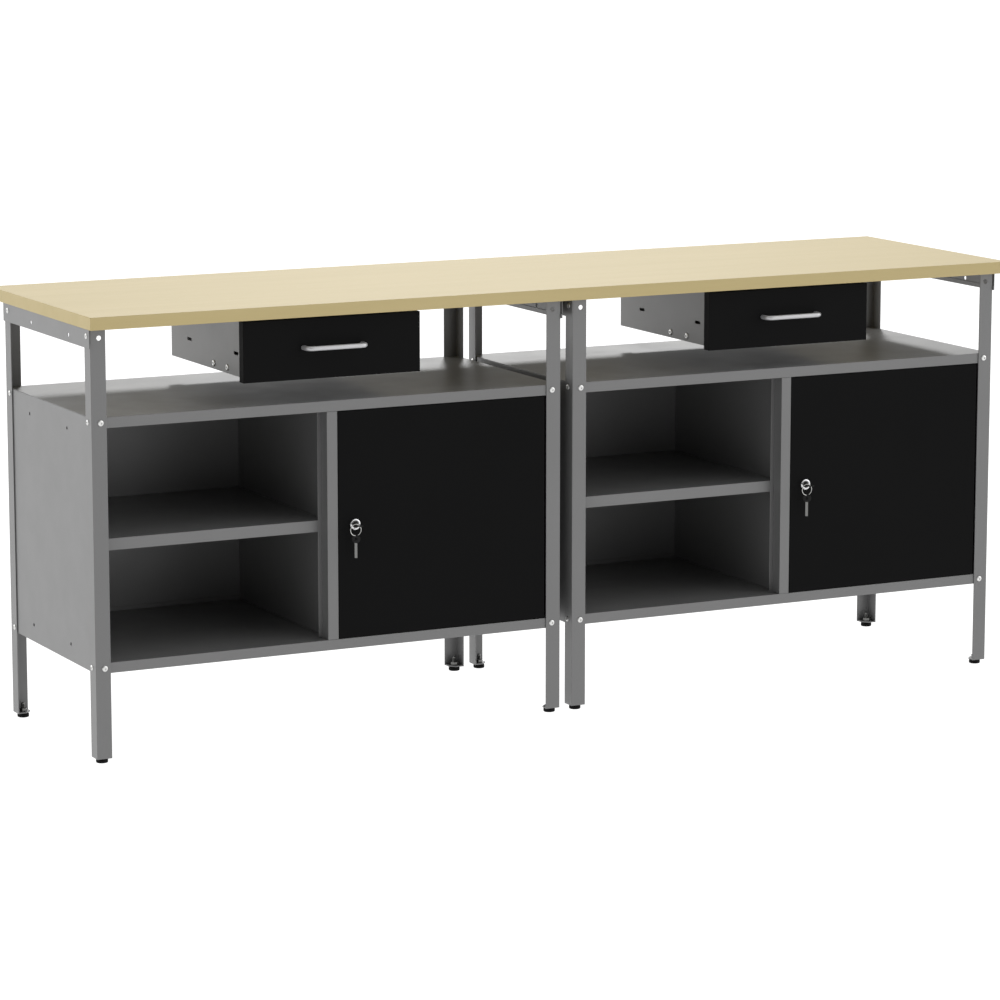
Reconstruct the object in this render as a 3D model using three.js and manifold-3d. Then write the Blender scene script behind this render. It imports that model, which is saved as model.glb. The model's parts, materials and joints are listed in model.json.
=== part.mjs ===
// A long workbench: one wooden worktop over two equal steel benches standing side by side.
// Each bench has four angle legs with levelling feet, two side rails, a drawer hung under
// the worktop, and a steel cabinet with an open bay on the left and a lockable door on the
// right. Millimetres, +X along the worktop, +Y to the back, +Z up, origin on the floor
// under the middle of the whole object.

import * as THREE from 'three';
import { mergeVertices } from 'three/addons/utils/BufferGeometryUtils.js';
import Module from 'manifold-3d';

const wasm = await Module();
wasm.setup();

// ---------------------------------------------------------------------------
// Driving dimensions
// ---------------------------------------------------------------------------

const GAP = 0.3;                 // left between pieces that touch
const SHEET = 1.2;               // cabinet, door and drawer sheet

const TOP_LENGTH = 2000;
const TOP_DEPTH = 540;
const TOP_THICKNESS = 24;
const HEIGHT = 840;              // floor to the upper face of the worktop
const UNDERSIDE = HEIGHT - TOP_THICKNESS;

// Each bench is drawn in its own frame: X from the outer face of its left legs,
// Y from the front face of its front legs, Z from the floor.
const BENCH_WIDTH = 971;
const BENCH_DEPTH = 454;
const BENCH_PITCH = 998;         // left bench to right bench
const BENCH_INSET_LEFT = 5;      // worktop end to the left legs
const BENCH_INSET_FRONT = 16;    // worktop front edge to the front legs

const LEG_WIDTH = 30;
const LEG_THICKNESS = 2;
const LEG_BOTTOM = 9;
const LEG_TOP = UNDERSIDE - GAP;
const LEG_HOLE_RADIUS = 4.7;
const LEG_HOLE_SETBACK = 17.5;   // leg corner to the hole
const LEG_HOLE_HEIGHT = 799.5;
const FOOT_PLATE = 29;
const FOOT_PLATE_THICKNESS = 2.5;
const FOOT_PLATE_CUT = 12;       // length of the cut at the plate's free corner

const FOOT_SETBACK = 15;         // leg corner to the stud
const FOOT_RADIUS = 11.5;
const FOOT_HEIGHT = 8.5;
const FOOT_CHAMFER = 1;
const STUD_RADIUS = 4;
const STUD_TOP = 29;
const STUD_CLEARANCE = 0.15;     // hole radius less shaft radius, before the facets take their share

const RAIL_HEIGHT = 35;
const RAIL_OFFSET = 3;           // outer face of the rail beyond the legs
const RAIL_LIP = 8.5;
const RAIL_OVERHANG = 3;         // rail end in front of the front legs
const RAIL_FLANGE = 26;
const RAIL_HOLE_RADIUS = 4;
const RAIL_HOLE_HEIGHT = 795;
const RAIL_HOLES = [104, 302];   // from the front of the legs

const CABINET_BOTTOM = 171;
const CABINET_FLOOR = 191;
const CABINET_LIP = 631.5;       // lower edge of the upper lip
const CABINET_TOP = 652;
const CABINET_INSET = LEG_THICKNESS + GAP;
const CABINET_LEFT = CABINET_INSET;
const CABINET_RIGHT = BENCH_WIDTH - CABINET_INSET;
const CABINET_FRONT = CABINET_INSET;
const CABINET_BACK = BENCH_DEPTH - CABINET_INSET;
const UPPER_RETURN = 25.7;       // depth of the flange folded in under the upper lip
const JAMB_WIDTH = 26;
const SIDE_HOLE_RADIUS = 3.4;
const SIDE_HOLE_DEPTHS = [134, 333];
const SIDE_HOLE_HEIGHTS = [204, 615.5];

const DIVIDER_X = 483;
const DIVIDER_FRONT = 30;
const DIVIDER_FLANGE = 17.3;
const POST_LEFT = 474.4;
const POST_RIGHT = 496.2;
const SHELF_TOP = 419.6;
const SHELF_LIP = 22.4;

const DOOR_LEFT = 497.2;
const DOOR_RIGHT = 937.5;
const DOOR_FRONT = 1.5;
const DOOR_DEPTH = 16;
const DOOR_BOTTOM = 192.5;
const DOOR_TOP = 630.3;
const PIN_X = 931;
const PIN_Y = 10;
const PIN_RADIUS = 3;
const PIN_CLEARANCE = 0.12;
const PIN_REACH = 9;             // pin length beyond the door's top and bottom edges
const PIN_BOSS = 22;             // pin length kept inside the door

const LOCK_X = 531;
const LOCK_Z = 411.5;
const LOCK_RIM_RADIUS = 11;
const LOCK_RIM_FRONT = -1.8;
const LOCK_BARREL_RADIUS = 9;
const LOCK_BARREL_BACK = 29.5;
const PLUG_RADIUS = 6;
const PLUG_CLEARANCE = 0.18;
const CAM_FRONT = 31;
const CAM_THICKNESS = 2.5;
const CAM_WIDTH = 14;
const CAM_REACH = 40;

const KEY_BOW_RADIUS = 9.5;
const KEY_BOW_Y = -16;
const KEY_BOW_HOLE = 4;
const KEY_BOW_THICKNESS = 2;
const KEY_BLADE_WIDTH = 7.8;
const KEY_BLADE_THICKNESS = 1.8;
const KEY_BLADE_END = 21;
const KEYWAY_CLEARANCE = 0.3;
const RING_RADIUS = 11;
const RING_WIRE = 0.8;
const RING_OFFSET = [-6, -8];    // ring centre from the lock axis, along X and Z
const SPARE_BOW_RADIUS = 8.5;
const SPARE_BOW_THICKNESS = 2.4;
const SPARE_BOW_OVERLAP = 2.5;
const SPARE_BLADE_WIDTH = 6.8;
const SPARE_BLADE_THICKNESS = 1.8;
const SPARE_LENGTH = 45.5;       // top of the spare key's bow to the tip of its blade
const SPARE_TURN = -40;          // degrees about Z

const DRAWER_LEFT = 303;
const DRAWER_RIGHT = 668.3;
const DRAWER_FRONT = -2;
const DRAWER_PANEL_DEPTH = 20;
const DRAWER_BOTTOM = 697;
const DRAWER_TOP = 812.3;
const HOUSING_OVERLAP = 19;      // drawer panel beyond the housing on each side
const HOUSING_FRONT = 18.6;
const HOUSING_BACK = 397.5;
const HOUSING_BOTTOM = 700;
const HOUSING_FLANGE = 20;
const HOUSING_LEDGE = 24;
const SLOT_LENGTH = 21;
const SLOT_RADIUS = 3;
const SLOT_HEIGHT = 743.3;
const SLOT_DEPTHS = [77, 306];
const BOX_SIDE_CLEARANCE = 10;   // drawer box to the housing, room for the slides
const BOX_BACK = 390;
const BOX_BOTTOM = 702;
const BOX_TOP = 796;

const HANDLE_SPAN = 121;         // between the axes of its two feet
const HANDLE_CENTRE = (DRAWER_LEFT + DRAWER_RIGHT) / 2;
const HANDLE_HEIGHT = 757.5;
const HANDLE_RADIUS = 4.5;
const HANDLE_REACH = 24;         // drawer front to the axis of the bar
const HANDLE_BEND = 10;

const FRONT_REACH = HANDLE_REACH + HANDLE_RADIUS - DRAWER_FRONT - BENCH_INSET_FRONT;

// ---------------------------------------------------------------------------
// Finishes
// ---------------------------------------------------------------------------

const FINISHES = {
  wood: { color: 0xe0d6b4, roughness: 0.5, metalness: 0 },
  greySteel: { color: 0x8a8a88, roughness: 0.45, metalness: 0.2 },
  blackSteel: { color: 0x161617, roughness: 0.35, metalness: 0.2 },
  chrome: { color: 0xd0d0d0, roughness: 0.2, metalness: 1 },
  steel: { color: 0x9a9a98, roughness: 0.35, metalness: 1 },
  rubber: { color: 0x101010, roughness: 0.8, metalness: 0 },
  blackPlastic: { color: 0x141414, roughness: 0.4, metalness: 0 },
};

// ---------------------------------------------------------------------------
// Solid helpers
// ---------------------------------------------------------------------------

function solid(geometry) {
  const plain = geometry.clone();
  plain.deleteAttribute('normal');
  plain.deleteAttribute('uv');
  const merged = mergeVertices(plain, 1e-4);
  return new wasm.Manifold(new wasm.Mesh({
    numProp: 3,
    vertProperties: Float32Array.from(merged.attributes.position.array),
    triVerts: Uint32Array.from(merged.index.array),
  }));
}

function block([xa, xb], [ya, yb], [za, zb]) {
  const geometry = new THREE.BoxGeometry(Math.abs(xb - xa), Math.abs(yb - ya), Math.abs(zb - za));
  geometry.translate((xa + xb) / 2, (ya + yb) / 2, (za + zb) / 2);
  return solid(geometry);
}

function rodAlongX([xa, xb], y, z, radius, sides = 16) {
  const geometry = new THREE.CylinderGeometry(radius, radius, Math.abs(xb - xa), sides);
  geometry.rotateZ(Math.PI / 2);
  geometry.translate((xa + xb) / 2, y, z);
  return solid(geometry);
}

function rodAlongY(x, [ya, yb], z, radius, sides = 16) {
  const geometry = new THREE.CylinderGeometry(radius, radius, Math.abs(yb - ya), sides);
  geometry.translate(x, (ya + yb) / 2, z);
  return solid(geometry);
}

function rodAlongZ(x, y, [za, zb], radius, sides = 16) {
  const geometry = new THREE.CylinderGeometry(radius, radius, Math.abs(zb - za), sides);
  geometry.rotateX(Math.PI / 2);
  geometry.translate(x, y, (za + zb) / 2);
  return solid(geometry);
}

function join(...solids) {
  return solids.reduce((whole, piece) => whole.add(piece));
}

function cut(body, ...tools) {
  return tools.reduce((whole, tool) => whole.subtract(tool), body);
}

function named(name, body, finish) {
  const { vertProperties, triVerts } = body.getMesh();
  const geometry = new THREE.BufferGeometry();
  geometry.setAttribute('position', new THREE.BufferAttribute(vertProperties, 3));
  geometry.setIndex(new THREE.BufferAttribute(triVerts, 1));
  geometry.computeVertexNormals();
  const mesh = new THREE.Mesh(geometry, new THREE.MeshStandardMaterial(FINISHES[finish]));
  mesh.name = name;
  return mesh;
}

// ---------------------------------------------------------------------------
// Frame of one bench
// ---------------------------------------------------------------------------

// A corner of the bench: its outer point and the directions that lead inward.
const CORNERS = [
  { label: 'front_left', x: 0, y: 0, inX: 1, inY: 1 },
  { label: 'front_right', x: BENCH_WIDTH, y: 0, inX: -1, inY: 1 },
  { label: 'back_left', x: 0, y: BENCH_DEPTH, inX: 1, inY: -1 },
  { label: 'back_right', x: BENCH_WIDTH, y: BENCH_DEPTH, inX: -1, inY: -1 },
];

// Flat plate across the foot of the angle, with its free corner cut off.
function cornerPlate({ x, y, inX, inY }, [bottom, top]) {
  const outline = [
    [0, 0],
    [FOOT_PLATE, 0],
    [FOOT_PLATE, FOOT_PLATE - FOOT_PLATE_CUT],
    [FOOT_PLATE - FOOT_PLATE_CUT, FOOT_PLATE],
    [0, FOOT_PLATE],
  ];
  const shape = new THREE.Shape(outline.map(([u, v]) => new THREE.Vector2(x + inX * u, y + inY * v)));
  const geometry = new THREE.ExtrudeGeometry(shape, { depth: top - bottom, bevelEnabled: false });
  geometry.translate(0, 0, bottom);
  return solid(geometry);
}

// Folded angle with an empty bolt hole near its top and a plate welded across its foot.
function leg({ x, y, inX, inY }) {
  const height = [LEG_BOTTOM, LEG_TOP];
  const plateHeight = [LEG_BOTTOM, LEG_BOTTOM + FOOT_PLATE_THICKNESS];
  const facing = block([x, x + inX * LEG_WIDTH], [y, y + inY * LEG_THICKNESS], height);
  const side = block([x, x + inX * LEG_THICKNESS], [y, y + inY * LEG_WIDTH], height);
  const plate = cornerPlate({ x, y, inX, inY }, plateHeight);
  const boltHole = rodAlongY(
    x + inX * LEG_HOLE_SETBACK,
    [y - inY, y + inY * (LEG_THICKNESS + 1)],
    LEG_HOLE_HEIGHT,
    LEG_HOLE_RADIUS,
  );
  const studHole = rodAlongZ(
    x + inX * FOOT_SETBACK,
    y + inY * FOOT_SETBACK,
    [LEG_BOTTOM - 1, LEG_BOTTOM + FOOT_PLATE_THICKNESS + 1],
    STUD_RADIUS + STUD_CLEARANCE,
  );
  return cut(join(facing, side, plate), boltHole, studHole);
}

// Levelling foot: a round puck with its threaded stud, turned about a vertical axis.
function foot({ x, y, inX, inY }) {
  const outline = [
    [0, 0],
    [FOOT_RADIUS - FOOT_CHAMFER, 0],
    [FOOT_RADIUS, FOOT_CHAMFER],
    [FOOT_RADIUS, FOOT_HEIGHT - FOOT_CHAMFER],
    [FOOT_RADIUS - FOOT_CHAMFER, FOOT_HEIGHT],
    [STUD_RADIUS, FOOT_HEIGHT],
    [STUD_RADIUS, STUD_TOP],
    [0, STUD_TOP],
  ];
  const geometry = new THREE.LatheGeometry(outline.map(([r, h]) => new THREE.Vector2(r, h)), 16);
  geometry.rotateX(Math.PI / 2);
  geometry.translate(x + inX * FOOT_SETBACK, y + inY * FOOT_SETBACK, 0);
  return solid(geometry);
}

// Hemmed strip outside the legs, folded in under the worktop between them.
function sideRail(x, inX) {
  const length = [-RAIL_OVERHANG, BENCH_DEPTH];
  const outer = x - inX * RAIL_OFFSET;
  const inner = x - inX * GAP;
  const bottom = UNDERSIDE - RAIL_HEIGHT;
  const web = block([outer, outer + inX * SHEET], length, [bottom, LEG_TOP]);
  const hem = block([outer, inner], length, [bottom, bottom + SHEET]);
  const lip = block([inner, inner - inX * SHEET], length, [bottom, bottom + RAIL_LIP]);
  const flange = block(
    [outer, outer + inX * RAIL_FLANGE],
    [LEG_WIDTH + GAP, BENCH_DEPTH - LEG_WIDTH - GAP],
    [LEG_TOP - SHEET, LEG_TOP],
  );
  const holes = RAIL_HOLES.map((depth) => rodAlongX(
    [outer - inX, outer + inX * (SHEET + 1)],
    depth,
    RAIL_HOLE_HEIGHT,
    RAIL_HOLE_RADIUS,
  ));
  return cut(join(web, hem, lip, flange), ...holes);
}

// ---------------------------------------------------------------------------
// Cabinet of one bench
// ---------------------------------------------------------------------------

function pinHole(height) {
  return rodAlongZ(PIN_X, PIN_Y, height, PIN_RADIUS + PIN_CLEARANCE);
}

function cabinetTop() {
  const width = [CABINET_LEFT, CABINET_RIGHT];
  const lipHeight = [CABINET_LIP, CABINET_TOP];
  const plate = block(width, [CABINET_FRONT, CABINET_BACK], [CABINET_TOP - SHEET, CABINET_TOP]);
  const frontLip = block(width, [CABINET_FRONT, CABINET_FRONT + SHEET], lipHeight);
  const backLip = block(width, [CABINET_BACK - SHEET, CABINET_BACK], lipHeight);
  const upperReturn = block(
    [CABINET_LEFT + SHEET + GAP, CABINET_RIGHT - SHEET - GAP],
    [CABINET_FRONT, CABINET_FRONT + UPPER_RETURN],
    [CABINET_LIP, CABINET_LIP + SHEET],
  );
  const whole = join(plate, frontLip, backLip, upperReturn);
  return cut(whole, pinHole([CABINET_LIP - 1, CABINET_LIP + SHEET + 1]));
}

function cabinetBottom() {
  const width = [CABINET_LEFT, CABINET_RIGHT];
  const lipHeight = [CABINET_BOTTOM, CABINET_FLOOR];
  const plate = block(
    [CABINET_LEFT + SHEET + GAP, CABINET_RIGHT - SHEET - GAP],
    [CABINET_FRONT, CABINET_BACK],
    [CABINET_FLOOR - SHEET, CABINET_FLOOR],
  );
  const frontLip = block(width, [CABINET_FRONT, CABINET_FRONT + SHEET], lipHeight);
  const backLip = block(width, [CABINET_BACK - SHEET, CABINET_BACK], lipHeight);
  const whole = join(plate, frontLip, backLip);
  return cut(whole, pinHole([CABINET_FLOOR - SHEET - 1, CABINET_FLOOR + 1]));
}

// Side sheet with a front jamb folded inward and four small fixing holes.
function cabinetSide(x, inX) {
  const front = CABINET_FRONT + SHEET + GAP;
  const sheet = block(
    [x, x + inX * SHEET],
    [front, CABINET_BACK - SHEET - GAP],
    [CABINET_BOTTOM, CABINET_TOP - SHEET - GAP],
  );
  const jamb = block(
    [x, x + inX * JAMB_WIDTH],
    [front, front + SHEET],
    [CABINET_FLOOR + GAP, CABINET_LIP - GAP],
  );
  const holes = SIDE_HOLE_DEPTHS.flatMap((depth) => SIDE_HOLE_HEIGHTS.map((height) => rodAlongX(
    [x - inX, x + inX * (SHEET + 1)],
    depth,
    height,
    SIDE_HOLE_RADIUS,
    10,
  )));
  return cut(join(sheet, jamb), ...holes);
}

function cabinetBackPanel() {
  return block(
    [CABINET_LEFT, CABINET_RIGHT],
    [CABINET_BACK - SHEET, CABINET_BACK],
    [CABINET_FLOOR + GAP, CABINET_LIP - GAP],
  );
}

// Upright sheet between the open bay and the cupboard, with a flange facing forward.
function divider() {
  const height = [CABINET_FLOOR + GAP, CABINET_TOP - SHEET - GAP];
  const right = DIVIDER_X + SHEET;
  const sheet = block([DIVIDER_X, right], [DIVIDER_FRONT, CABINET_BACK - SHEET - GAP], height);
  const flange = block([right - DIVIDER_FLANGE, right], [DIVIDER_FRONT, DIVIDER_FRONT + SHEET], height);
  return join(sheet, flange);
}

// Channel that the door closes beside, open towards the back.
function doorPost() {
  const height = [CABINET_FLOOR + GAP, CABINET_LIP - GAP];
  const back = DIVIDER_FRONT - GAP;
  const outside = block([POST_LEFT, POST_RIGHT], [CABINET_FRONT, back], height);
  const inside = block(
    [POST_LEFT + SHEET, POST_RIGHT - SHEET],
    [CABINET_FRONT + SHEET, back + 1],
    [CABINET_FLOOR - 1, CABINET_LIP + 1],
  );
  return cut(outside, inside);
}

function shelf() {
  const left = CABINET_LEFT + SHEET + GAP;
  const flangeLeft = DIVIDER_X + SHEET - DIVIDER_FLANGE - GAP;
  const back = CABINET_BACK - SHEET - GAP;
  const plateHeight = [SHELF_TOP - SHEET, SHELF_TOP];
  const plate = block([left, flangeLeft], [DIVIDER_FRONT, back], plateHeight);
  const tongue = block(
    [flangeLeft - 1, DIVIDER_X - GAP],
    [DIVIDER_FRONT + SHEET + GAP, back],
    plateHeight,
  );
  const lip = block(
    [left, flangeLeft],
    [DIVIDER_FRONT, DIVIDER_FRONT + SHEET],
    [SHELF_TOP - SHELF_LIP, SHELF_TOP],
  );
  return join(plate, tongue, lip);
}

// ---------------------------------------------------------------------------
// Door, lock and keys of one bench
// ---------------------------------------------------------------------------

// Pan folded from one sheet, with a hinge pin standing out of its top and bottom edges.
function door() {
  const back = DOOR_FRONT + DOOR_DEPTH;
  const pan = block([DOOR_LEFT, DOOR_RIGHT], [DOOR_FRONT, back], [DOOR_BOTTOM, DOOR_TOP]);
  const hollow = block(
    [DOOR_LEFT + SHEET, DOOR_RIGHT - SHEET],
    [DOOR_FRONT + SHEET, back + 1],
    [DOOR_BOTTOM + SHEET, DOOR_TOP - SHEET],
  );
  const lockHole = rodAlongY(
    LOCK_X,
    [DOOR_FRONT - 1, DOOR_FRONT + SHEET + 1],
    LOCK_Z,
    LOCK_BARREL_RADIUS + GAP,
  );
  const pin = (height) => rodAlongZ(PIN_X, PIN_Y, height, PIN_RADIUS);
  const upperPin = pin([DOOR_TOP - PIN_BOSS, DOOR_TOP + PIN_REACH]);
  const lowerPin = pin([DOOR_BOTTOM - PIN_REACH, DOOR_BOTTOM + PIN_BOSS]);
  return join(cut(pan, hollow, lockHole), upperPin, lowerPin);
}

function lockBarrel() {
  const rim = rodAlongY(LOCK_X, [LOCK_RIM_FRONT, DOOR_FRONT - GAP], LOCK_Z, LOCK_RIM_RADIUS, 24);
  const barrel = rodAlongY(LOCK_X, [LOCK_RIM_FRONT + 1, LOCK_BARREL_BACK], LOCK_Z, LOCK_BARREL_RADIUS);
  const bore = rodAlongY(
    LOCK_X,
    [LOCK_RIM_FRONT - 1, LOCK_BARREL_BACK + 1],
    LOCK_Z,
    PLUG_RADIUS + PLUG_CLEARANCE,
  );
  return cut(join(rim, barrel), bore);
}

// Turning plug with its keyway, and the tongue that passes behind the post when locked.
function lockCam() {
  const plug = rodAlongY(LOCK_X, [LOCK_RIM_FRONT + GAP, CAM_FRONT + CAM_THICKNESS], LOCK_Z, PLUG_RADIUS);
  const tongue = block(
    [LOCK_X - CAM_WIDTH / 2, LOCK_X + CAM_WIDTH / 2],
    [CAM_FRONT, CAM_FRONT + CAM_THICKNESS],
    [LOCK_Z - CAM_WIDTH / 2, LOCK_Z + CAM_REACH],
  );
  const halfWidth = KEY_BLADE_WIDTH / 2 + KEYWAY_CLEARANCE;
  const halfThickness = KEY_BLADE_THICKNESS / 2 + KEYWAY_CLEARANCE;
  const keyway = block(
    [LOCK_X - halfWidth, LOCK_X + halfWidth],
    [LOCK_RIM_FRONT - 1, KEY_BLADE_END + 1],
    [LOCK_Z - halfThickness, LOCK_Z + halfThickness],
  );
  return cut(join(plug, tongue), keyway);
}

// Key standing in the lock, its bow lying flat with a hole for the ring.
function key() {
  const half = KEY_BOW_THICKNESS / 2;
  const bow = rodAlongZ(LOCK_X, KEY_BOW_Y, [LOCK_Z - half, LOCK_Z + half], KEY_BOW_RADIUS, 20);
  const through = [LOCK_Z - half - 1, LOCK_Z + half + 1];
  const hole = rodAlongZ(LOCK_X, KEY_BOW_Y, through, KEY_BOW_HOLE, 12);
  const blade = block(
    [LOCK_X - KEY_BLADE_WIDTH / 2, LOCK_X + KEY_BLADE_WIDTH / 2],
    [KEY_BOW_Y + KEY_BOW_HOLE + 2, KEY_BLADE_END],
    [LOCK_Z - KEY_BLADE_THICKNESS / 2, LOCK_Z + KEY_BLADE_THICKNESS / 2],
  );
  return cut(join(bow, blade), hole);
}

// Wire ring hanging from the key's bow, with a second key on it.
function spareKey() {
  const ringX = LOCK_X + RING_OFFSET[0];
  const ringZ = LOCK_Z + RING_OFFSET[1];
  const ring = new THREE.TorusGeometry(RING_RADIUS, RING_WIRE, 6, 24);
  ring.rotateX(Math.PI / 2);
  ring.translate(ringX, KEY_BOW_Y, ringZ);

  const turn = THREE.MathUtils.degToRad(SPARE_TURN);
  const bowTop = ringZ - RING_RADIUS + SPARE_BOW_OVERLAP;
  const bow = new THREE.CylinderGeometry(SPARE_BOW_RADIUS, SPARE_BOW_RADIUS, SPARE_BOW_THICKNESS, 20);
  bow.rotateZ(turn);
  const bladeTop = bowTop - SPARE_BOW_RADIUS;
  const bladeLength = SPARE_LENGTH - SPARE_BOW_RADIUS;
  const blade = new THREE.BoxGeometry(SPARE_BLADE_WIDTH, SPARE_BLADE_THICKNESS, bladeLength);
  blade.rotateZ(turn);
  bow.translate(ringX, KEY_BOW_Y, bowTop - SPARE_BOW_RADIUS);
  blade.translate(ringX, KEY_BOW_Y, bladeTop - bladeLength / 2);
  return join(solid(ring), solid(bow), solid(blade));
}

// ---------------------------------------------------------------------------
// Drawer of one bench
// ---------------------------------------------------------------------------

// Hanging side sheet with a flange under the worktop, a ledge below and two slots.
function housingSide(x, inX) {
  const length = [HOUSING_FRONT, HOUSING_BACK];
  const sheet = block([x, x + inX * SHEET], length, [HOUSING_BOTTOM, LEG_TOP]);
  const flange = block([x, x + inX * HOUSING_FLANGE], length, [LEG_TOP - SHEET, LEG_TOP]);
  const ledge = block([x, x + inX * HOUSING_LEDGE], length, [HOUSING_BOTTOM, HOUSING_BOTTOM + SHEET]);
  const through = [x - inX, x + inX * (SHEET + 1)];
  const halfRun = SLOT_LENGTH / 2 - SLOT_RADIUS;
  const slotHeight = [SLOT_HEIGHT - SLOT_RADIUS, SLOT_HEIGHT + SLOT_RADIUS];
  const slots = SLOT_DEPTHS.map((depth) => join(
    rodAlongX(through, depth - halfRun, SLOT_HEIGHT, SLOT_RADIUS, 12),
    rodAlongX(through, depth + halfRun, SLOT_HEIGHT, SLOT_RADIUS, 12),
    block(through, [depth - halfRun, depth + halfRun], slotHeight),
  ));
  return cut(join(sheet, flange, ledge), ...slots);
}

function drawerBox() {
  const left = DRAWER_LEFT + HOUSING_OVERLAP + BOX_SIDE_CLEARANCE;
  const right = DRAWER_RIGHT - HOUSING_OVERLAP - BOX_SIDE_CLEARANCE;
  const front = DRAWER_FRONT + DRAWER_PANEL_DEPTH + GAP;
  const outside = block([left, right], [front, BOX_BACK], [BOX_BOTTOM, BOX_TOP]);
  const inside = block(
    [left + SHEET, right - SHEET],
    [front + SHEET, BOX_BACK - SHEET],
    [BOX_BOTTOM + SHEET, BOX_TOP + 1],
  );
  return cut(outside, inside);
}

// Shallow pan that closes the drawer, open towards the back.
function drawerPanel() {
  const back = DRAWER_FRONT + DRAWER_PANEL_DEPTH;
  const pan = block([DRAWER_LEFT, DRAWER_RIGHT], [DRAWER_FRONT, back], [DRAWER_BOTTOM, DRAWER_TOP]);
  const hollow = block(
    [DRAWER_LEFT + SHEET, DRAWER_RIGHT - SHEET],
    [DRAWER_FRONT + SHEET, back + 1],
    [DRAWER_BOTTOM + SHEET, DRAWER_TOP - SHEET],
  );
  return cut(pan, hollow);
}

// Round bar bent twice, standing in front of the drawer panel.
function drawerHandle() {
  const foot = DRAWER_FRONT - GAP;
  const bar = DRAWER_FRONT - HANDLE_REACH;
  const left = HANDLE_CENTRE - HANDLE_SPAN / 2;
  const right = HANDLE_CENTRE + HANDLE_SPAN / 2;
  const at = (x, y) => new THREE.Vector3(x, y, HANDLE_HEIGHT);
  const bendBack = bar + HANDLE_BEND;
  const straightLeft = at(left + HANDLE_BEND, bar);
  const straightRight = at(right - HANDLE_BEND, bar);
  const path = new THREE.CurvePath();
  path.add(new THREE.LineCurve3(at(left, foot), at(left, bendBack)));
  path.add(new THREE.QuadraticBezierCurve3(at(left, bendBack), at(left, bar), straightLeft));
  path.add(new THREE.LineCurve3(straightLeft, straightRight));
  path.add(new THREE.QuadraticBezierCurve3(straightRight, at(right, bar), at(right, bendBack)));
  path.add(new THREE.LineCurve3(at(right, bendBack), at(right, foot)));
  const section = new THREE.Shape();
  section.absarc(0, 0, HANDLE_RADIUS, 0, 2 * Math.PI);
  return solid(new THREE.ExtrudeGeometry(section, { steps: 40, curveSegments: 6, extrudePath: path }));
}

// ---------------------------------------------------------------------------
// Assembly
// ---------------------------------------------------------------------------

function bench(side) {
  const group = new THREE.Group();
  const add = (name, body, finish) => group.add(named(`${side}_${name}`, body, finish));
  for (const corner of CORNERS) {
    add(`leg_${corner.label}`, leg(corner), 'greySteel');
    add(`foot_${corner.label}`, foot(corner), 'rubber');
  }
  add('rail_left', sideRail(0, 1), 'greySteel');
  add('rail_right', sideRail(BENCH_WIDTH, -1), 'greySteel');

  add('cabinet_top', cabinetTop(), 'greySteel');
  add('cabinet_bottom', cabinetBottom(), 'greySteel');
  add('cabinet_side_left', cabinetSide(CABINET_LEFT, 1), 'greySteel');
  add('cabinet_side_right', cabinetSide(CABINET_RIGHT, -1), 'greySteel');
  add('cabinet_back', cabinetBackPanel(), 'greySteel');
  add('divider', divider(), 'greySteel');
  add('door_post', doorPost(), 'greySteel');
  add('shelf', shelf(), 'greySteel');

  add('door', door(), 'blackSteel');
  add('lock_barrel', lockBarrel(), 'chrome');
  add('lock_cam', lockCam(), 'steel');
  add('key', key(), 'blackPlastic');
  add('spare_key', spareKey(), 'steel');

  add('drawer_housing_left', housingSide(DRAWER_LEFT + HOUSING_OVERLAP, 1), 'greySteel');
  add('drawer_housing_right', housingSide(DRAWER_RIGHT - HOUSING_OVERLAP, -1), 'greySteel');
  add('drawer_box', drawerBox(), 'greySteel');
  add('drawer_panel', drawerPanel(), 'blackSteel');
  add('drawer_handle', drawerHandle(), 'chrome');
  return group;
}

// Drawn from the worktop's front left corner, then moved so that the origin is under the middle.
const workbench = new THREE.Group();
workbench.position.set(-TOP_LENGTH / 2, (FRONT_REACH - TOP_DEPTH) / 2, 0);
workbench.add(named('worktop', block([0, TOP_LENGTH], [0, TOP_DEPTH], [UNDERSIDE, HEIGHT]), 'wood'));
['left', 'right'].forEach((side, index) => {
  const group = bench(side);
  group.position.set(BENCH_INSET_LEFT + index * BENCH_PITCH, BENCH_INSET_FRONT, 0);
  workbench.add(group);
});

export default workbench;
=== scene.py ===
import json
import math

import bmesh
import bpy
from mathutils import Matrix, Vector


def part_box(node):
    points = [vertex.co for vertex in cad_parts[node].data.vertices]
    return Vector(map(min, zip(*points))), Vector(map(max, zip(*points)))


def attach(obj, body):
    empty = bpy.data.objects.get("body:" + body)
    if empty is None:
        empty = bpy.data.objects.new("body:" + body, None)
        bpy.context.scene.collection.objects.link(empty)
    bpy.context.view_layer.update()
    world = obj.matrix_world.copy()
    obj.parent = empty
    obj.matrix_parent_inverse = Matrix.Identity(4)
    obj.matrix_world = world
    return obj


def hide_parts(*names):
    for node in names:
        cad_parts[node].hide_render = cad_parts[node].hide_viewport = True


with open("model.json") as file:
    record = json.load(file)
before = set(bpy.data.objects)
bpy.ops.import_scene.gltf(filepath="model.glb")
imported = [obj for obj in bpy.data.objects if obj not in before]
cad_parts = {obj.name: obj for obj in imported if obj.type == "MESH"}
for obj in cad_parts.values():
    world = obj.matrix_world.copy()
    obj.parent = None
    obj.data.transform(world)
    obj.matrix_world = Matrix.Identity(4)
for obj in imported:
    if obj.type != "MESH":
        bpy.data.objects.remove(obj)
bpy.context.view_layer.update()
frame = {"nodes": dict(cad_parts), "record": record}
NODES = frame["nodes"]
BODIES = frame["record"]["behaviour"]["bodies"]
SLOT_OF = {s["node"]: s["material_slot"] for s in frame["record"]["subparts"]}
BODY_OF = {node: body for body, members in BODIES.items() for node in members}
SIDES = ("left", "right")
HANDS = (("left", -1), ("right", 1))    # the two hands of a bench, with the way out along X


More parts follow.
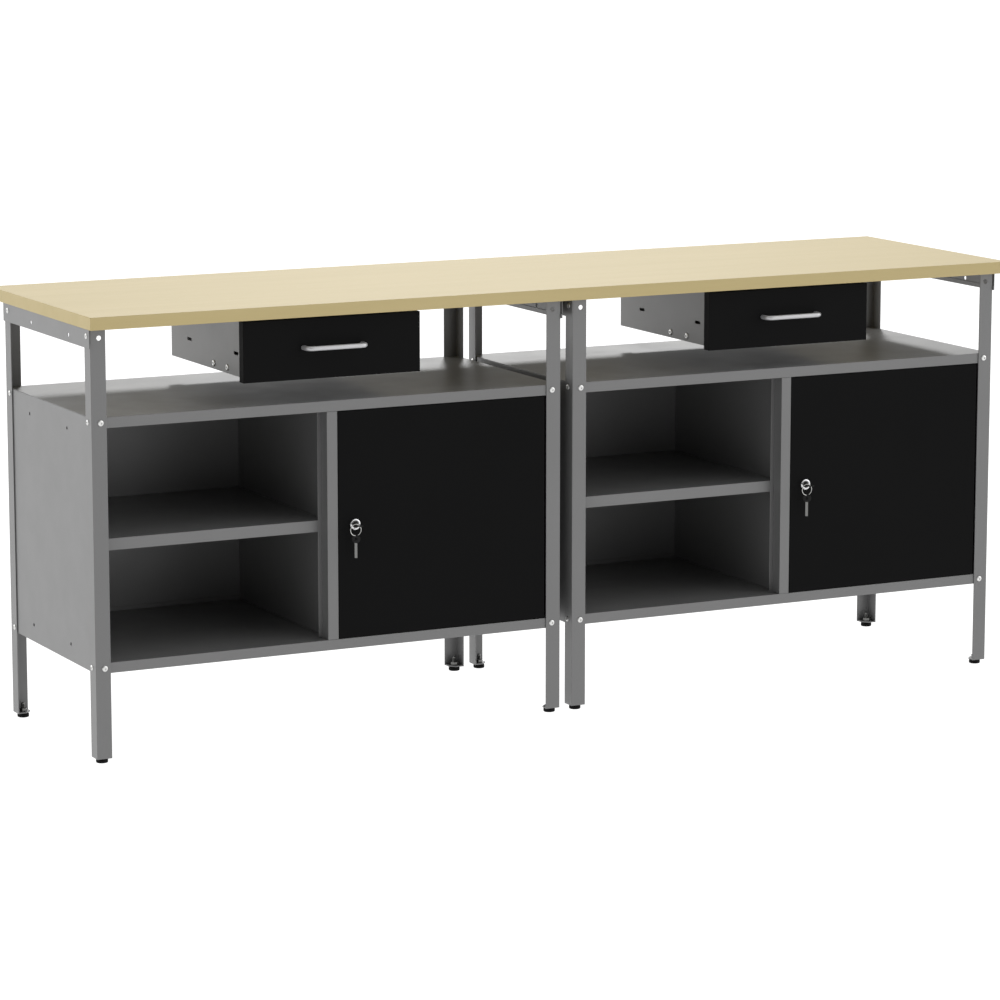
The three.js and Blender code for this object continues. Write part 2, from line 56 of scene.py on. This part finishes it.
# ---------------------------------------------------------------- sizes, in metres

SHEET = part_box("left_cabinet_back")[1].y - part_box("left_cabinet_back")[0].y
FOOT_PLATE = 0.0025                     # thickness of the plate at a leg's foot

# How far the sharp edges are rounded.
ROUNDING = {
    "worktop": 0.001, "leg": 0.0006, "rail": 0.0004, "cabinet": 0.0005, "housing": 0.0004,
    "drawer_box": 0.0004, "drawer_panel": 0.0007, "door": 0.0006, "lock_cam": 0.0003,
}
SHARP = 40                              # degrees; edges steeper than this are rounded

# Bolts: the radius and height of each kind's head, and where the bolts sit.
FRONT_BOLT = (0.0057, 0.002)
SIDE_BOLT = (0.0053, 0.002)
RAIL_BOLT = (0.0053, 0.0016)
HOUSING_BOLT = (0.0062, 0.002)
LEG_BOLT_HEIGHTS = (0.181, 0.642)
FRONT_BOLT_INSET = 0.018                # from a leg's corner, along the bench
SIDE_BOLT_INSET = 0.019                 # from a leg's corner, across the bench
RAIL_BOLT_INSET = 0.012                 # from the front of the legs, and twice that from their back
RAIL_BOLT_HEIGHT = 0.803
HOUSING_BOLT_INSETS = (0.120, 0.186)    # from the front of the legs
HOUSING_BOLT_HEIGHT = 0.711

# Levelling feet.
PUCK_GAP = 0.0006                       # between the puck and the leg
STUD_RADIUS = 0.004
THREAD_DEPTH = 0.0005
THREAD_PITCH = 0.00125
THREAD_END = 0.0035                     # from the stud's top to where the thread stops
NUT_RADIUS = 0.0075
NUT_FLAT = 0.0066                       # radius of the flat inside the nut's chamfers
NUT_HEIGHT = 0.0065
NUT_CHAMFER = 0.0008

LIP_HEIGHT = 0.008                      # lip along the foot of a cabinet's back panel
LIP_INSET = 0.001                       # from the side sheets to the lip's ends

# Drawer slides.
SLIDE_HEIGHT = 0.018
SLIDE_LIFT = 0.0006                     # above the ledge at the housing's foot
SLIDE_STEP = 0.003                      # how much lower and higher the fixed half reaches
SLIDE_CLEARANCE = 0.0001                # between a half and the sheet that carries it
SLIDE_GAP = 0.0004                      # from the slide's middle to each half
SLIDE_FRONT = 0.004                     # behind the drawer box's front
SLIDE_BACK = 0.012                      # before the housing's back
SLIDE_ROUNDING = 0.0008

HANDLE_BEND = 0.011
BEND_STEPS = 12

# Lock and keys.
LOCK_BORE = 0.0063
LOCK_BODY = 0.009                       # radius behind the rim
LOCK_RIM = 0.003                        # thickness of the rim
PLUG_RADIUS = 0.0058
NECK_WIDTH, NECK_THICKNESS = 0.009, 0.0018
BLADE_WIDTH, BLADE_THICKNESS = 0.0076, 0.0016
KEY_HOLE = 0.004                        # radius of the hole in the bow of the key in the lock
RING_RADIUS, WIRE_RADIUS = 0.011, 0.0008
SPARE_BOW, SPARE_HOLE, SPARE_THICKNESS = 0.0085, 0.0022, 0.0024
SPARE_RISE = 0.0025                     # top of the spare key's bow above the foot of the ring
SPARE_BLADE_WIDTH, SPARE_BLADE_THICKNESS = 0.0054, 0.0018
SPARE_TURN = -40                        # degrees about the vertical


# ---------------------------------------------------------------- materials

def node(tree, kind, **values):
    """A new node, with the values given to its inputs or else to its settings."""
    made = tree.nodes.new(kind)
    for key, value in values.items():
        if key in made.inputs:
            made.inputs[key].default_value = value
        else:
            setattr(made, key, value)
    return made


def principled(name, rough, metallic=0.0, specular=0.5):
    mat = bpy.data.materials.new(name)
    mat.use_nodes = True
    tree = mat.node_tree
    shader = tree.nodes["Principled BSDF"]
    shader.inputs["Roughness"].default_value = rough
    shader.inputs["Metallic"].default_value = metallic
    shader.inputs["Specular IOR Level"].default_value = specular
    return mat, tree, shader


def place(tree, scale=(1, 1, 1)):
    """Object coordinates, stretched: the pattern stays on the piece."""
    coords = node(tree, "ShaderNodeTexCoord")
    mapping = node(tree, "ShaderNodeMapping", Scale=scale)
    tree.links.new(coords.outputs["Object"], mapping.inputs["Vector"])
    return mapping.outputs["Vector"]


def noise(tree, vector, scale, detail, rough=0.5):
    made = node(tree, "ShaderNodeTexNoise", Scale=scale, Detail=detail, Roughness=rough)
    tree.links.new(vector, made.inputs["Vector"])
    return made.outputs["Fac"]


def ramp(tree, fac, low, high, start=0.3, end=0.7):
    """Blends from the colour low at start to the colour high at end."""
    made = node(tree, "ShaderNodeValToRGB")
    made.color_ramp.elements[0].position = start
    made.color_ramp.elements[0].color = (*low, 1)
    made.color_ramp.elements[1].position = end
    made.color_ramp.elements[1].color = (*high, 1)
    tree.links.new(fac, made.inputs["Fac"])
    return made.outputs["Color"]


def span(tree, fac, low, high, start=0.3, end=0.7):
    """Blends from the number low at start to the number high at end."""
    limits = {"From Min": start, "From Max": end, "To Min": low, "To Max": high}
    made = node(tree, "ShaderNodeMapRange", **limits)
    tree.links.new(fac, made.inputs["Value"])
    return made.outputs["Result"]


def bump(tree, height, strength, distance):
    made = node(tree, "ShaderNodeBump", Strength=strength, Distance=distance)
    tree.links.new(height, made.inputs["Height"])
    return made.outputs["Normal"]


def scaled(colour, k):
    return tuple(c * k for c in colour)


def dress(tree, shader, colour, rough, normal):
    """Wires the three varying values into the shader."""
    tree.links.new(colour, shader.inputs["Base Color"])
    tree.links.new(rough, shader.inputs["Roughness"])
    tree.links.new(normal, shader.inputs["Normal"])


def powder_coat(name, colour, rough, specular):
    """Baked powder paint: an even colour with a fine orange-peel skin."""
    mat, tree, shader = principled(name, rough, specular=specular)
    where = place(tree)
    broad = noise(tree, where, scale=5, detail=2)
    smear = noise(tree, where, scale=14, detail=4, rough=0.6)
    peel = noise(tree, where, scale=900, detail=2, rough=0.6)
    dress(tree, shader, ramp(tree, broad, scaled(colour, 0.97), scaled(colour, 1.03)),
          span(tree, smear, rough - 0.03, rough + 0.03), bump(tree, peel, 0.12, 0.0001))
    return mat


def metal(name, colour, rough, stretch=(1, 1, 1), metallic=1.0):
    """Bare or plated metal with fine marks, drawn out along X where stretch asks for it."""
    mat, tree, shader = principled(name, rough, metallic=metallic)
    marks = noise(tree, place(tree, stretch), scale=700, detail=3, rough=0.6)
    dress(tree, shader, ramp(tree, marks, scaled(colour, 0.92), scaled(colour, 1.05)),
          span(tree, marks, rough - 0.04, rough + 0.04), bump(tree, marks, 0.08, 0.00005))
    return mat


def moulded(name, colour, rough, specular):
    """Black plastic or rubber with a faint mould grain."""
    mat, tree, shader = principled(name, rough, specular=specular)
    grain = noise(tree, place(tree), scale=1500, detail=3)
    dress(tree, shader, ramp(tree, grain, scaled(colour, 0.85), scaled(colour, 1.15)),
          span(tree, grain, rough - 0.05, rough + 0.05), bump(tree, grain, 0.2, 0.0001))
    return mat


def board(name, light, dark, rough, specular):
    """Pale fine-grained board: long soft figure with short pores along the piece."""
    mat, tree, shader = principled(name, rough, specular=specular)
    figure = noise(tree, place(tree, (0.5, 9, 9)), scale=3, detail=4, rough=0.55)
    pores = noise(tree, place(tree, (6, 160, 160)), scale=8, detail=5, rough=0.65)
    both = node(tree, "ShaderNodeMath", operation="MULTIPLY_ADD")
    tree.links.new(pores, both.inputs[0])
    both.inputs[1].default_value = 0.35
    tree.links.new(figure, both.inputs[2])
    dress(tree, shader, ramp(tree, both.outputs["Value"], dark, light, 0.45, 0.9),
          span(tree, pores, rough - 0.04, rough + 0.08), bump(tree, pores, 0.06, 0.0002))
    return mat


MATERIALS = {
    "worktop_wood": board("oiled board", (0.450, 0.366, 0.187), (0.425, 0.345, 0.170), 0.42, 0.15),
    "bench_steel": powder_coat("grey powder coat", (0.124, 0.124, 0.124), 0.36, 0.7),
    "black_steel": powder_coat("black powder coat", (0.0050, 0.0050, 0.0051), 0.55, 0.035),
    "lock_chrome": metal("polished chrome", (0.62, 0.62, 0.63), 0.16),
    "handle_chrome": metal("satin chrome", (0.46, 0.46, 0.47), 0.4, (0.1, 1, 1), metallic=0.6),
    "plain_steel": metal("zinc-plated steel", (0.50, 0.50, 0.485), 0.35),
    "stud_steel": metal("dull stud", (0.16, 0.16, 0.155), 0.35),
    "bolt_steel": metal("bright bolt", (0.62, 0.62, 0.61), 0.35),
    "key_steel": metal("nickelled key", (0.20, 0.20, 0.195), 0.35),
    "key_plastic": moulded("black key head", (0.010, 0.010, 0.010), 0.5, 0.15),
    "foot_rubber": moulded("black foot", (0.004, 0.004, 0.004), 0.6, 0.08),
}
# The record has one slot for all the small steel hardware.
RECORD_SLOT = dict.fromkeys(("bolt_steel", "key_steel", "stud_steel"), "plain_steel")


# ---------------------------------------------------------------- shapes

def new_object(name, mesh, body, slot):
    obj = bpy.data.objects.new(name, mesh)
    bpy.context.scene.collection.objects.link(obj)
    mesh.materials.clear()
    mesh.materials.append(MATERIALS[slot])
    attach(obj, body)
    return obj


def mesh_of(bm, name):
    mesh = bpy.data.meshes.new(name)
    bm.to_mesh(mesh)
    bm.free()
    return mesh


def steep_edges(bm, degrees):
    """The edges between two faces that meet at more than the given angle."""
    limit = math.radians(degrees)
    return [edge for edge in bm.edges if len(edge.link_faces) == 2 and edge.calc_face_angle() > limit]


def round_edges(bm, width, segments=2):
    """Rounds the sharp edges; the flats between them stay flat."""
    for face in bm.faces:
        face.smooth = False
    made = bmesh.ops.bevel(bm, geom=steep_edges(bm, SHARP), offset=width, segments=segments, profile=0.5,
                           affect="EDGES", clamp_overlap=True)
    for face in made["faces"]:
        face.smooth = True


def smooth_but(bm, degrees):
    """Smooth shading, with edges steeper than this kept crisp."""
    for face in bm.faces:
        face.smooth = True
    for edge in steep_edges(bm, degrees):
        edge.smooth = False


def softened(name, width, segments=2):
    """Shows a copy of a CAD node with its sharp edges rounded, in the node's place."""
    bm = bmesh.new()
    bm.from_mesh(NODES[name].data)
    bmesh.ops.remove_doubles(bm, verts=bm.verts, dist=1e-6)
    bmesh.ops.dissolve_limit(bm, angle_limit=math.radians(1), verts=bm.verts, edges=bm.edges)
    bmesh.ops.connect_verts_concave(bm, faces=bm.faces)
    round_edges(bm, width, segments)
    obj = new_object(f"{name}_soft", mesh_of(bm, f"{name}_soft"), BODY_OF[name], SLOT_OF[name])
    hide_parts(name)


def around(sides):
    """Evenly spaced angles of one full turn."""
    return [2 * math.pi * i / sides for i in range(sides)]


def turned(name, outline, at, along, body, slot, sides=32, crisp=35):
    """A turned piece: outline is (radius, height) pairs from its base, standing on at."""
    bm = bmesh.new()
    rings = []
    for radius, height in outline:
        turn = around(sides if radius > 0 else 1)
        rings.append([bm.verts.new((radius * math.cos(a), radius * math.sin(a), height)) for a in turn])
    for low, high in zip(rings, rings[1:]):
        for i in range(sides):
            j = i + 1
            corners = [low[i % len(low)], low[j % len(low)], high[j % len(high)], high[i % len(high)]]
            unique = list(dict.fromkeys(corners))
            if len(unique) > 2:
                bm.faces.new(unique)
    bmesh.ops.remove_doubles(bm, verts=bm.verts, dist=1e-7)
    bmesh.ops.recalc_face_normals(bm, faces=bm.faces)
    rotation = Vector((0, 0, 1)).rotation_difference(Vector(along)).to_matrix().to_4x4()
    bm.transform(Matrix.Translation(Vector(at)) @ rotation)
    smooth_but(bm, crisp)
    return new_object(name, mesh_of(bm, name), body, slot)


def block(name, lo, hi, body, slot, rounding=0.0004, turn=None):
    """A box between two corners, turned about its middle if turn is a matrix."""
    bm = bmesh.new()
    bmesh.ops.create_cube(bm, size=1)
    size = Vector(hi) - Vector(lo)
    centre = (Vector(hi) + Vector(lo)) / 2
    rotation = turn or Matrix.Identity(4)
    bm.transform(Matrix.Translation(centre) @ rotation @ Matrix.Diagonal((*size, 1)))
    round_edges(bm, rounding)
    return new_object(name, mesh_of(bm, name), body, slot)


def swept(name, points, radius, body, slot, sides, closed=False):
    """A round bar along a line of points that lies in a level or an upright plane."""
    bm = bmesh.new()
    count = len(points)
    normal = (points[count // 3] - points[0]).cross(points[2 * count // 3] - points[0]).normalized()
    rings = []
    for i, point in enumerate(points):
        before = points[i - 1] if closed or i else point
        after = points[(i + 1) % count] if closed or i + 1 < count else point
        side = (after - before).normalized().cross(normal)
        rings.append([bm.verts.new(point + radius * (math.cos(a) * side + math.sin(a) * normal))
                      for a in around(sides)])
    pairs = list(zip(rings, rings[1:])) + ([(rings[-1], rings[0])] if closed else [])
    for low, high in pairs:
        for k in range(sides):
            j = (k + 1) % sides
            bm.faces.new((low[k], low[j], high[j], high[k]))
    if not closed:
        bm.faces.new(rings[0])
        bm.faces.new(rings[-1])
    bmesh.ops.recalc_face_normals(bm, faces=bm.faces)
    smooth_but(bm, 50)
    return new_object(name, mesh_of(bm, name), body, slot)


def pierced_disc(name, centre, axis, radius, hole, thickness, body, slot):
    """A flat disc with a hole, centred on a point, with soft rims."""
    rim = min(thickness * 0.35, 0.0006)
    half = thickness / 2
    outline = [(hole, -half + rim), (hole + rim, -half), (radius - rim, -half), (radius, -half + rim),
               (radius, half - rim), (radius - rim, half), (hole + rim, half), (hole, half - rim),
               (hole, -half + rim)]
    return turned(name, outline, centre, axis, body, slot, crisp=60)


def bolt_head(name, at, along, head):
    """Low domed head with a shallow socket, seated on a face of the frame."""
    radius, height = head
    socket = radius * 0.36
    outline = [(0, 0), (radius, 0), (radius, height * 0.3), (radius * 0.94, height * 0.62),
               (radius * 0.76, height * 0.88), (socket * 1.2, height), (socket, height * 0.9),
               (socket, height * 0.25), (0, height * 0.25)]
    turned(name, outline, at, along, "frame", "bolt_steel")


def outer_x(name, out):
    """X of a node's left face if out is -1, of its right face if out is 1."""
    lo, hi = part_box(name)
    return lo.x if out < 0 else hi.x


def legs_front(side):
    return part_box(f"{side}_leg_front_left")[0].y


# ---------------------------------------------------------------- the two benches

def legs_and_feet(side):
    for label in ("front_left", "front_right", "back_left", "back_right"):
        leg, foot = f"{side}_leg_{label}", f"{side}_foot_{label}"
        lo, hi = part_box(leg)
        in_x = 1 if "left" in label else -1
        in_y = 1 if "front" in label else -1
        corner = Vector((lo.x if in_x > 0 else hi.x, lo.y if in_y > 0 else hi.y, 0))
        softened(leg, ROUNDING["leg"])
        for i, z in enumerate(LEG_BOLT_HEIGHTS):
            on_front = corner + Vector((in_x * FRONT_BOLT_INSET, 0, z))
            on_side = corner + Vector((0, in_y * SIDE_BOLT_INSET, z))
            bolt_head(f"{leg}_bolt_{i}", on_front, (0, -in_y, 0), FRONT_BOLT)
            bolt_head(f"{leg}_side_bolt_{i}", on_side, (-in_x, 0, 0), SIDE_BOLT)
        levelling_foot(foot, lo.z)


def levelling_foot(name, leg_bottom):
    """Moulded puck and threaded stud, with a nut on the leg's plate."""
    lo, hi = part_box(name)
    body = BODY_OF[name]
    at = Vector(((lo.x + hi.x) / 2, (lo.y + hi.y) / 2, 0))
    up = (0, 0, 1)

    radius = (hi.x - lo.x) / 2
    top = leg_bottom - PUCK_GAP
    puck = turned(f"{name}_puck", [
        (0, 0), (radius - 0.0015, 0), (radius - 0.0004, 0.0006), (radius, 0.002), (radius, top - 0.003),
        (radius - 0.0005, top - 0.0012), (radius - 0.0022, top), (0, top),
    ], at, up, body, "foot_rubber")
    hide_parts(name)

    core = STUD_RADIUS - THREAD_DEPTH
    outline = [(0, top)]
    z = top
    while z < hi.z - THREAD_END:
        outline += [(core, z), (STUD_RADIUS, z + THREAD_PITCH / 2)]
        z += THREAD_PITCH
    outline += [(core, z), (core - 0.0001, hi.z - 0.0012), (core - 0.0013, hi.z), (0, hi.z)]
    turned(f"{name}_stud", outline, at, up, body, "stud_steel", sides=20)

    bore = STUD_RADIUS + 0.0001
    base = leg_bottom + FOOT_PLATE
    crown = base + NUT_HEIGHT
    turned(f"{name}_nut", [
        (bore, base), (NUT_FLAT, base), (NUT_RADIUS, base + NUT_CHAMFER),
        (NUT_RADIUS, crown - NUT_CHAMFER), (NUT_FLAT, crown), (bore, crown), (bore, base),
    ], at, up, "frame", "stud_steel", sides=6, crisp=20)


def rails(side):
    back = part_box(f"{side}_leg_back_left")[1].y
    for hand, out in HANDS:
        name = f"{side}_rail_{hand}"
        softened(name, ROUNDING["rail"])
        for i, y in enumerate((legs_front(side) + RAIL_BOLT_INSET, back - 2 * RAIL_BOLT_INSET)):
            bolt_head(f"{name}_bolt_{i}", (outer_x(name, out), y, RAIL_BOLT_HEIGHT), (out, 0, 0), RAIL_BOLT)


def cabinet(side):
    """The cabinet's sheets, and a lip that covers the hairline gap below the back panel."""
    for part in ("cabinet_top", "cabinet_bottom", "cabinet_side_left", "cabinet_side_right", "cabinet_back",
                 "divider", "door_post", "shelf"):
        softened(f"{side}_{part}", ROUNDING["cabinet"])
    lo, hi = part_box(f"{side}_cabinet_back")
    floor_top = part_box(f"{side}_cabinet_bottom")[1].z
    inset = SHEET + LIP_INSET
    block(f"{side}_back_foot", (lo.x + inset, lo.y - SHEET, floor_top),
          (hi.x - inset, lo.y, lo.z + LIP_HEIGHT), "frame", "bench_steel")


def drawer(side):
    for hand, out in HANDS:
        housing(side, hand, out)
    softened(f"{side}_drawer_box", ROUNDING["drawer_box"])
    softened(f"{side}_drawer_panel", ROUNDING["drawer_panel"])
    handle(side)


def housing(side, hand, out):
    """A hanging sheet beside the drawer, with two bolts outside and the slide inside."""
    name = f"{side}_drawer_housing_{hand}"
    softened(name, ROUNDING["housing"])
    for i, inset in enumerate(HOUSING_BOLT_INSETS):
        at = (outer_x(name, out), legs_front(side) + inset, HOUSING_BOLT_HEIGHT)
        bolt_head(f"{name}_bolt_{i}", at, (out, 0, 0), HOUSING_BOLT)
    slide(side, name, out)


def slide(side, name, out):
    """Two halves in the gap between housing and drawer box, one riding with each."""
    lo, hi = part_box(name)
    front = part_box(f"{side}_drawer_box")[0].y + SLIDE_FRONT
    base = lo.z + SHEET + SLIDE_LIFT
    housing_face = outer_x(name, out) - out * SHEET
    box_face = outer_x(f"{side}_drawer_box", out)
    middle = (housing_face + box_face) / 2
    halves = (
        ("fixed", "frame", housing_face - out * SLIDE_CLEARANCE, middle + out * SLIDE_GAP, 0),
        ("moving", f"{side}_drawer", middle - out * SLIDE_GAP, box_face + out * SLIDE_CLEARANCE, SLIDE_STEP),
    )
    for label, body, start, end, step in halves:
        block(f"{name}_slide_{label}", (min(start, end), front, base + step),
              (max(start, end), hi.y - SLIDE_BACK, base + SLIDE_HEIGHT - step),
              body, "plain_steel", SLIDE_ROUNDING)


def handle(side):
    """Round bar with a bend at each end, standing off the drawer's front."""
    name = f"{side}_drawer_handle"
    lo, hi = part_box(name)
    radius = (hi.z - lo.z) / 2
    left, right = lo.x + radius, hi.x - radius
    bend_y = lo.y + radius + HANDLE_BEND
    z = (lo.z + hi.z) / 2
    points = [Vector((left, hi.y, z))]
    for bend_x, start in ((left + HANDLE_BEND, math.pi), (right - HANDLE_BEND, 1.5 * math.pi)):
        for i in range(BEND_STEPS + 1):
            a = start + i * math.pi / 2 / BEND_STEPS
            points.append(Vector((bend_x, bend_y, z)) + HANDLE_BEND * Vector((math.cos(a), math.sin(a), 0)))
    points.append(Vector((right, hi.y, z)))
    bar = swept(f"{name}_bar", points, radius, f"{side}_drawer", "handle_chrome", sides=24)
    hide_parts(name)


def door(side):
    softened(f"{side}_door", ROUNDING["door"])
    lock(side)
    lock_key(side)
    spare_key(side)


def lock(side):
    """Turned rim and barrel, with the turning plug's face inside in black: partly a dust shutter, partly
    painted shade in the bore.
    """
    lo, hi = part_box(f"{side}_lock_barrel")
    radius, depth = (hi.x - lo.x) / 2, hi.y - lo.y
    at = Vector(((lo.x + hi.x) / 2, lo.y, (lo.z + hi.z) / 2))
    back = (0, 1, 0)
    barrel = turned(f"{side}_lock_rim", [
        (LOCK_BORE, 0.0009), (LOCK_BORE + 0.0005, 0.0003), (LOCK_BORE + 0.0012, 0), (radius - 0.0016, 0),
        (radius - 0.0006, 0.0004), (radius, 0.0014), (radius, LOCK_RIM), (LOCK_BODY, LOCK_RIM),
        (LOCK_BODY, depth), (LOCK_BORE, depth), (LOCK_BORE, 0.0009),
    ], at, back, f"{side}_door", "lock_chrome", sides=40)
    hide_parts(f"{side}_lock_barrel")
    softened(f"{side}_lock_cam", ROUNDING["lock_cam"])
    plug_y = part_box(f"{side}_lock_cam")[0].y
    # The plug's face is black plastic: partly a dust shutter, partly painted shade for the dark inside the
    # bore.
    turned(f"{side}_plug_shutter_painted_shade", [
        (0, -0.0005), (PLUG_RADIUS - 0.0006, -0.0005), (PLUG_RADIUS, -0.0002), (PLUG_RADIUS, 0.0004),
        (0, 0.0004),
    ], (at.x, plug_y, at.z), back, f"{side}_lock", "key_plastic")


def bow_of_key(side):
    """Radius and centre of the round bow of the key in the lock."""
    lo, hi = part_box(f"{side}_key")
    radius = (hi.x - lo.x) / 2
    return radius, Vector(((lo.x + hi.x) / 2, lo.y + radius, (lo.z + hi.z) / 2))


def lock_key(side):
    """The key in the lock, lying level: moulded bow and neck, steel blade."""
    name, body = f"{side}_key", f"{side}_lock"
    lo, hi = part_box(name)
    radius, centre = bow_of_key(side)
    bow = pierced_disc(f"{name}_bow", centre, (0, 0, 1), radius, KEY_HOLE, hi.z - lo.z, body, "key_plastic")
    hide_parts(name)
    neck = Vector((NECK_WIDTH, 0, NECK_THICKNESS)) / 2
    blade = Vector((BLADE_WIDTH, 0, BLADE_THICKNESS)) / 2
    block(f"{name}_neck", centre - neck + Vector((0, radius - 0.0012, 0)),
          centre + neck + Vector((0, radius + 0.0025, 0)), body, "key_plastic", 0.0004)
    block(f"{name}_blade", centre - blade + Vector((0, radius + 0.001, 0)),
          centre + blade + Vector((0, hi.y - centre.y, 0)), body, "key_steel", 0.0003)


def spare_key(side):
    """Wire ring through the bow of the key in the lock, with the spare key hanging from it."""
    name = f"{side}_spare_key"
    lo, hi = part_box(name)
    y = bow_of_key(side)[1].y
    ring_at = Vector((lo.x + RING_RADIUS + WIRE_RADIUS, y, hi.z - WIRE_RADIUS - RING_RADIUS))
    points = [ring_at + RING_RADIUS * Vector((math.sin(a), 0, math.cos(a))) for a in around(48)]
    ring = swept(f"{name}_ring", points, WIRE_RADIUS, name, "plain_steel", sides=10, closed=True)
    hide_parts(name)
    turn = Matrix.Rotation(math.radians(SPARE_TURN), 4, "Z")
    bow_at = ring_at + Vector((0, 0, SPARE_RISE - RING_RADIUS - SPARE_BOW))
    pierced_disc(f"{name}_bow", bow_at, turn @ Vector((0, 1, 0)), SPARE_BOW, SPARE_HOLE, SPARE_THICKNESS,
                 name, "key_plastic")
    half = Vector((SPARE_BLADE_WIDTH, SPARE_BLADE_THICKNESS, 0)) / 2
    foot = Vector((bow_at.x, y, lo.z))
    top = Vector((bow_at.x, y, bow_at.z - SPARE_BOW + 0.001))
    block(f"{name}_blade", foot - half, top + half, name, "key_steel", 0.0004, turn)


for name, obj in NODES.items():
    obj.data.materials.clear()
    obj.data.materials.append(MATERIALS[SLOT_OF[name]])
softened("worktop", ROUNDING["worktop"], segments=3)
for side in SIDES:
    legs_and_feet(side)
    rails(side)
    cabinet(side)
    drawer(side)
    door(side)


# ---------------------------------------------------------------- floor, light, camera

HORIZON_LIGHT = 1.0
ZENITH_LIGHT = 0.83
HORIZON_TO_ZENITH = (0.25, 0.85)    # how steeply up the one starts to become the other, and has become it
# For each lobe: its direction, the light added there, and how squarely a direction has to face it for
# the lobe to start and to be full.
SKY_LOBES = (
    ((-0.30, -0.95, 0), -0.72, 0.45, 0.9),    # front, dimmer
    ((0.94, -0.34, 0), 1.35, 0.4, 0.9),       # right
    ((-0.50, 0.87, 0), 1.60, 0.55, 0.95),     # back left, bright along the side panels
    ((0.45, 0.89, 0), -0.76, 0.65, 0.95),     # back right, dimmer, seen in the trays
)
SUN_WAY = (-0.376, -0.739, -0.559)
SUN_LIGHT = 1.25
SUN_SPREAD = 0.14                   # radians
FLOOR_SIZE = 40
FLOOR_COLOUR = (0.12, 0.12, 0.12, 1)
FLOOR_GLOW = 1.1
WHITE = (1, 1, 1, 1)
CAMERA_AT = (-3.6105, -7.07535, 1.7745)
CAMERA_DIP = 9.935                  # degrees below level
CAMERA_TURN = 26.84                 # degrees to the right of straight ahead
CAMERA_REACH = 100
SENSOR_WIDTH = 36
LENS_LENGTH = 4.0127                # in widths of the sensor


def facing(tree, direction, way):
    """How squarely a direction of the sky faces the given one."""
    made = node(tree, "ShaderNodeVectorMath", operation="DOT_PRODUCT")
    tree.links.new(direction, made.inputs[0])
    made.inputs[1].default_value = way
    return made.outputs["Value"]


def studio_sky():
    """An even pale sky, with lobes of more or less light along its horizon."""
    world = bpy.data.worlds.new("studio")
    bpy.context.scene.world = world
    world.use_nodes = True
    tree = world.node_tree
    direction = node(tree, "ShaderNodeTexCoord").outputs["Generated"]
    upward = facing(tree, direction, (0, 0, 1))
    strength = span(tree, upward, HORIZON_LIGHT, ZENITH_LIGHT, *HORIZON_TO_ZENITH)
    for way, light, start, full in SKY_LOBES:
        total = node(tree, "ShaderNodeMath", operation="ADD")
        tree.links.new(strength, total.inputs[0])
        tree.links.new(span(tree, facing(tree, direction, way), 0, light, start, full), total.inputs[1])
        strength = total.outputs["Value"]
    background = tree.nodes["Background"]
    background.inputs["Color"].default_value = WHITE
    tree.links.new(strength, background.inputs["Strength"])


def back_light():
    """Sun from behind and to the right, which throws the worktop's shadow forward over the trays."""
    data = bpy.data.lights.new("back light", "SUN")
    data.energy = SUN_LIGHT
    data.angle = SUN_SPREAD
    light = bpy.data.objects.new("back light", data)
    light.rotation_euler = Vector(SUN_WAY).to_track_quat("-Z", "Y").to_euler()
    bpy.context.scene.collection.objects.link(light)


def pale_floor():
    """A floor that glows faintly, as a light table does, so that it stays pale under the benches."""
    bm = bmesh.new()
    bmesh.ops.create_grid(bm, x_segments=1, y_segments=1, size=FLOOR_SIZE)
    floor = bpy.data.objects.new("floor", mesh_of(bm, "floor"))
    bpy.context.scene.collection.objects.link(floor)
    mat, _, shader = principled("white floor", 0.9, specular=0.0)
    shader.inputs["Base Color"].default_value = FLOOR_COLOUR
    shader.inputs["Emission Color"].default_value = WHITE
    shader.inputs["Emission Strength"].default_value = FLOOR_GLOW
    floor.data.materials.append(mat)


def set_camera():
    data = bpy.data.cameras.new("camera")
    data.sensor_width = SENSOR_WIDTH
    data.lens = SENSOR_WIDTH * LENS_LENGTH
    data.clip_end = CAMERA_REACH
    camera = bpy.data.objects.new("camera", data)
    camera.location = CAMERA_AT
    camera.rotation_euler = (math.radians(90 - CAMERA_DIP), 0, math.radians(-CAMERA_TURN))
    bpy.context.scene.collection.objects.link(camera)
    bpy.context.scene.camera = camera


studio_sky()
back_light()
pale_floor()
set_camera()
bpy.context.scene.view_settings.view_transform = "Standard"
